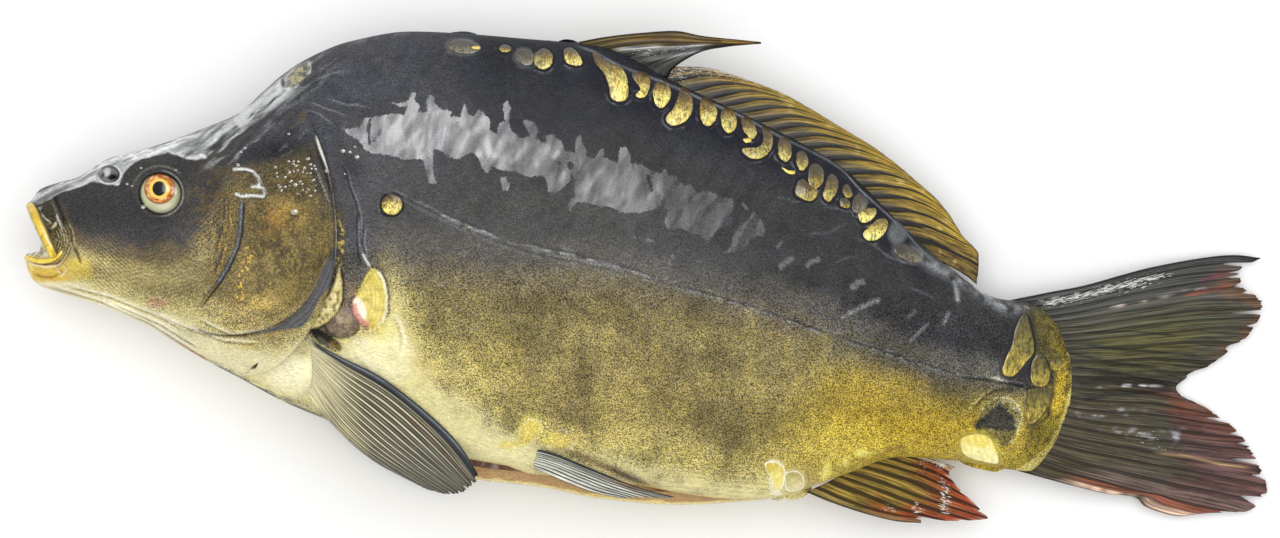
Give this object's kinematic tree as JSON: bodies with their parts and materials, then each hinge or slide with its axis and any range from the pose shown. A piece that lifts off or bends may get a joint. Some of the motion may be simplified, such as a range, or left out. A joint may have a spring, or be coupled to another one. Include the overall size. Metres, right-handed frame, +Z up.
{
  "type": "whole raw mirror carp",
  "caption": "Whole raw gutted mirror carp lying on its side, with few large gold scales, a long back fin, open mouth and cut belly.",
  "frame": {"origin": "centre of the underside of the bounding box, on the surface the fish lies on", "axes": "+X from the lips to the tail fin, along the length; +Y towards the back fin; +Z up, out of the left flank, which is the shown side"},
  "size_m": [0.5, 0.1896, 0.0784],
  "materials": {
    "skin": "wet skin, charcoal back shading to golden olive flank and cream belly, fine dark speckle, clear slime coat",
    "scale": "large bright yellow-gold scales under a clear wet film",
    "fin": "thin wet webs between darker rays, olive gold to grey, rust red at the belly fins and tail tips",
    "eye": "clear domed cornea over an orange-gold iris and black pupil",
    "lip": "wet yellow lip and jaw skin",
    "flesh": "moist reddish-brown belly lining at the cut, with whitish film"
  },
  "bodies": {
    "root": {"fish": "skin"}
  },
  "joints": []
}
